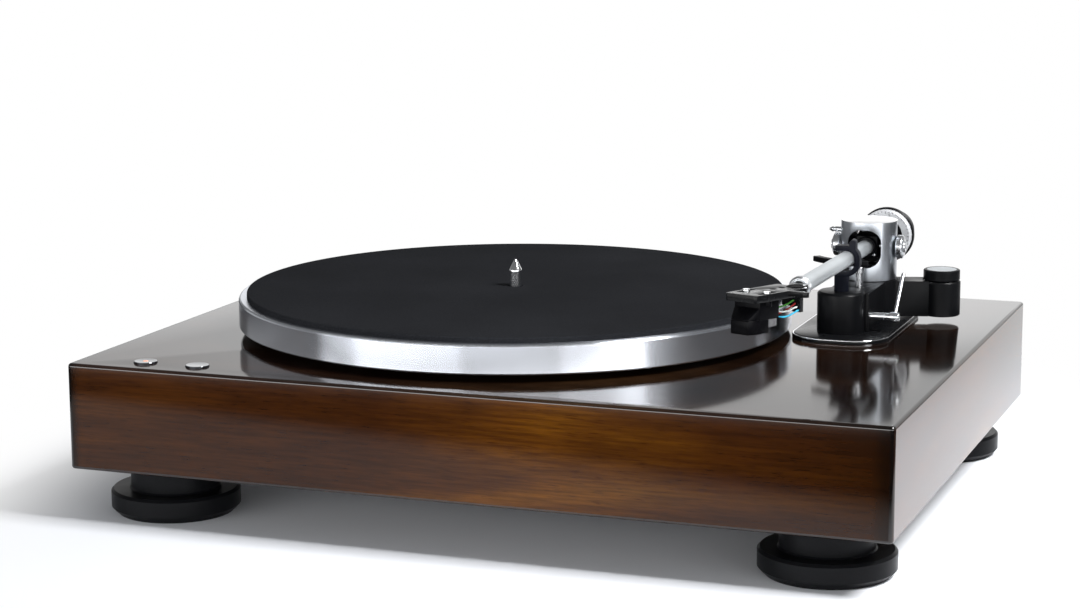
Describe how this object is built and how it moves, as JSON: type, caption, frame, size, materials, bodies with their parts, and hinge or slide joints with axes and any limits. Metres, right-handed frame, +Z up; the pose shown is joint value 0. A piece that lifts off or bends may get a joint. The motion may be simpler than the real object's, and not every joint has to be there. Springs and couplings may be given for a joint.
{
  "type": "turntable",
  "caption": "Belt-drive turntable: lacquered wooden plinth on round feet, metal platter with mat and spindle, straight tonearm parked in its rest with cartridge and weight.",
  "frame": {"origin": "on the floor under the plinth's centre", "axes": "+X to the right along the plinth's front, +Y to the back, +Z up"},
  "size_m": [0.435, 0.34, 0.1403],
  "materials": {
    "walnut": "gloss lacquered walnut",
    "fibreboard": "plain dark fibreboard",
    "foot_black": "satin black",
    "platter_metal": "turned satin",
    "mat_black": "matte felted black",
    "bright_chrome": "polished",
    "steel": "plain",
    "bronze": "turned",
    "gilt": "plated",
    "soft_black": "matte",
    "board_green": "circuit board",
    "moulded_black": "satin moulded",
    "guard_black": "smooth moulded",
    "painted_black": "satin black paint",
    "tower_metal": "satin turned",
    "tube_metal": "bead-blasted satin",
    "lead_colours": "coloured insulation"
  },
  "bodies": {
    "base": {"plinth_shell": "walnut", "bottom_panel": "fibreboard", "foot_front_left": "foot_black", "foot_front_right": "foot_black", "foot_rear_left": "foot_black", "foot_rear_right": "foot_black", "arm_base_trim": "bright_chrome", "ground_post": "bright_chrome", "bottom_screws": "steel", "foot_bolts": "steel", "bearing_housing": "steel", "thrust_ball": "steel", "bearing_screws": "steel", "motor_body": "steel", "motor_plate": "steel", "motor_screws": "steel", "arm_base_nut": "steel", "bearing_bush": "bronze", "rca_jacks": "gilt", "motor_grommets": "soft_black", "drive_belt": "soft_black", "control_board": "board_green", "button_switches": "moulded_black", "board_posts": "moulded_black", "rear_panel": "moulded_black", "power_inlet": "moulded_black", "arm_rest": "moulded_black", "arm_base_plate": "painted_black", "arm_bridge": "painted_black", "lift_housing": "painted_black", "antiskate_drum": "painted_black"},
    "platter": {"platter": "platter_metal", "platter_mat": "mat_black", "spindle": "bright_chrome"},
    "motor_rotor": {"motor_shaft": "steel", "motor_pulley": "bronze"},
    "power_button": {"power_button": "bright_chrome"},
    "speed_button": {"speed_button": "bright_chrome"},
    "cue_lever": {"cue_axle": "bright_chrome", "cue_lever": "bright_chrome"},
    "cue_lift": {"lift_pin": "bright_chrome", "lift_bar": "moulded_black"},
    "arm_yoke": {"arm_tower": "tower_metal", "pivot_screws": "bright_chrome", "tower_pin": "bright_chrome", "swing_shaft": "steel"},
    "tonearm": {"arm_tube": "tube_metal", "gimbal_block": "moulded_black", "headshell_collar": "bright_chrome", "headshell": "painted_black", "headshell_screws": "bright_chrome", "cartridge_body": "moulded_black", "stylus_holder": "moulded_black", "stylus_guard": "guard_black", "cartridge_leads": "lead_colours", "rear_stub": "steel"},
    "weight_sleeve": {"weight_sleeve": "moulded_black"},
    "counterweight": {"counterweight": "painted_black"},
    "force_dial": {"force_dial": "tower_metal"},
    "antiskate_knob": {"antiskate_knob": "painted_black"}
  },
  "joints": [
    {"name": "platter_spin", "type": "hinge", "parent": "base", "child": "platter", "pos_m": [-0.035, 0.0035, 0.0835], "axis": [0, 0, 1], "continuous": true},
    {"name": "motor_spin", "type": "hinge", "parent": "base", "child": "motor_rotor", "pos_m": [-0.1149, 0.0834, 0.0835], "axis": [0, 0, 1], "continuous": true},
    {"name": "power_press", "type": "slide", "parent": "base", "child": "power_button", "axis": [0, 0, -1], "range_m": [0, 0.0015], "stiffness_N_per_m": 600},
    {"name": "speed_press", "type": "slide", "parent": "base", "child": "speed_button", "axis": [0, 0, -1], "range_m": [0, 0.0015], "stiffness_N_per_m": 600},
    {"name": "cue_turn", "type": "hinge", "parent": "base", "child": "cue_lever", "pos_m": [0.162, 0.0375, 0.095], "axis": [1, 0, 0], "range_deg": [0, 60]},
    {"name": "cue_lift_slide", "type": "slide", "parent": "base", "child": "cue_lift", "axis": [0, 0, 1], "range_m": [-0.0035, 0]},
    {"name": "arm_swing", "type": "hinge", "parent": "base", "child": "arm_yoke", "pos_m": [0.145, 0.084, 0.1258], "axis": [0, 0, -1], "range_deg": [0, 46]},
    {"name": "arm_pitch", "type": "hinge", "parent": "arm_yoke", "child": "tonearm", "pos_m": [0.145, 0.084, 0.1258], "axis": [0.9996, 0.0279, 0], "range_deg": [0, 1.7]},
    {"name": "weight_slide", "type": "slide", "parent": "tonearm", "child": "weight_sleeve", "axis": [-0.0279, 0.9992, -0.0297], "range_m": [-0.003, 0.003]},
    {"name": "weight_turn", "type": "hinge", "parent": "weight_sleeve", "child": "counterweight", "pos_m": [0.14333, 0.14395, 0.12402], "axis": [-0.0279, 0.9992, -0.0297], "range_deg": [-360, 360]},
    {"name": "force_dial_turn", "type": "hinge", "parent": "counterweight", "child": "force_dial", "pos_m": [0.14369, 0.13096, 0.12441], "axis": [-0.0279, 0.9992, -0.0297], "continuous": true},
    {"name": "antiskate_turn", "type": "hinge", "parent": "base", "child": "antiskate_knob", "pos_m": [0.184, 0.095, 0.1095], "axis": [0, 0, -1], "range_deg": [0, 270]}
  ],
  "couplings": [
    {"joint": "motor_spin", "follows": "platter_spin", "ratio": 14},
    {"joint": "cue_lift_slide", "follows": "cue_turn", "m_per_rad": -0.00334},
    {"joint": "arm_pitch", "follows": "cue_turn", "ratio": 0.02833},
    {"joint": "weight_slide", "follows": "weight_turn", "m_per_rad": 0.000477}
  ]
}
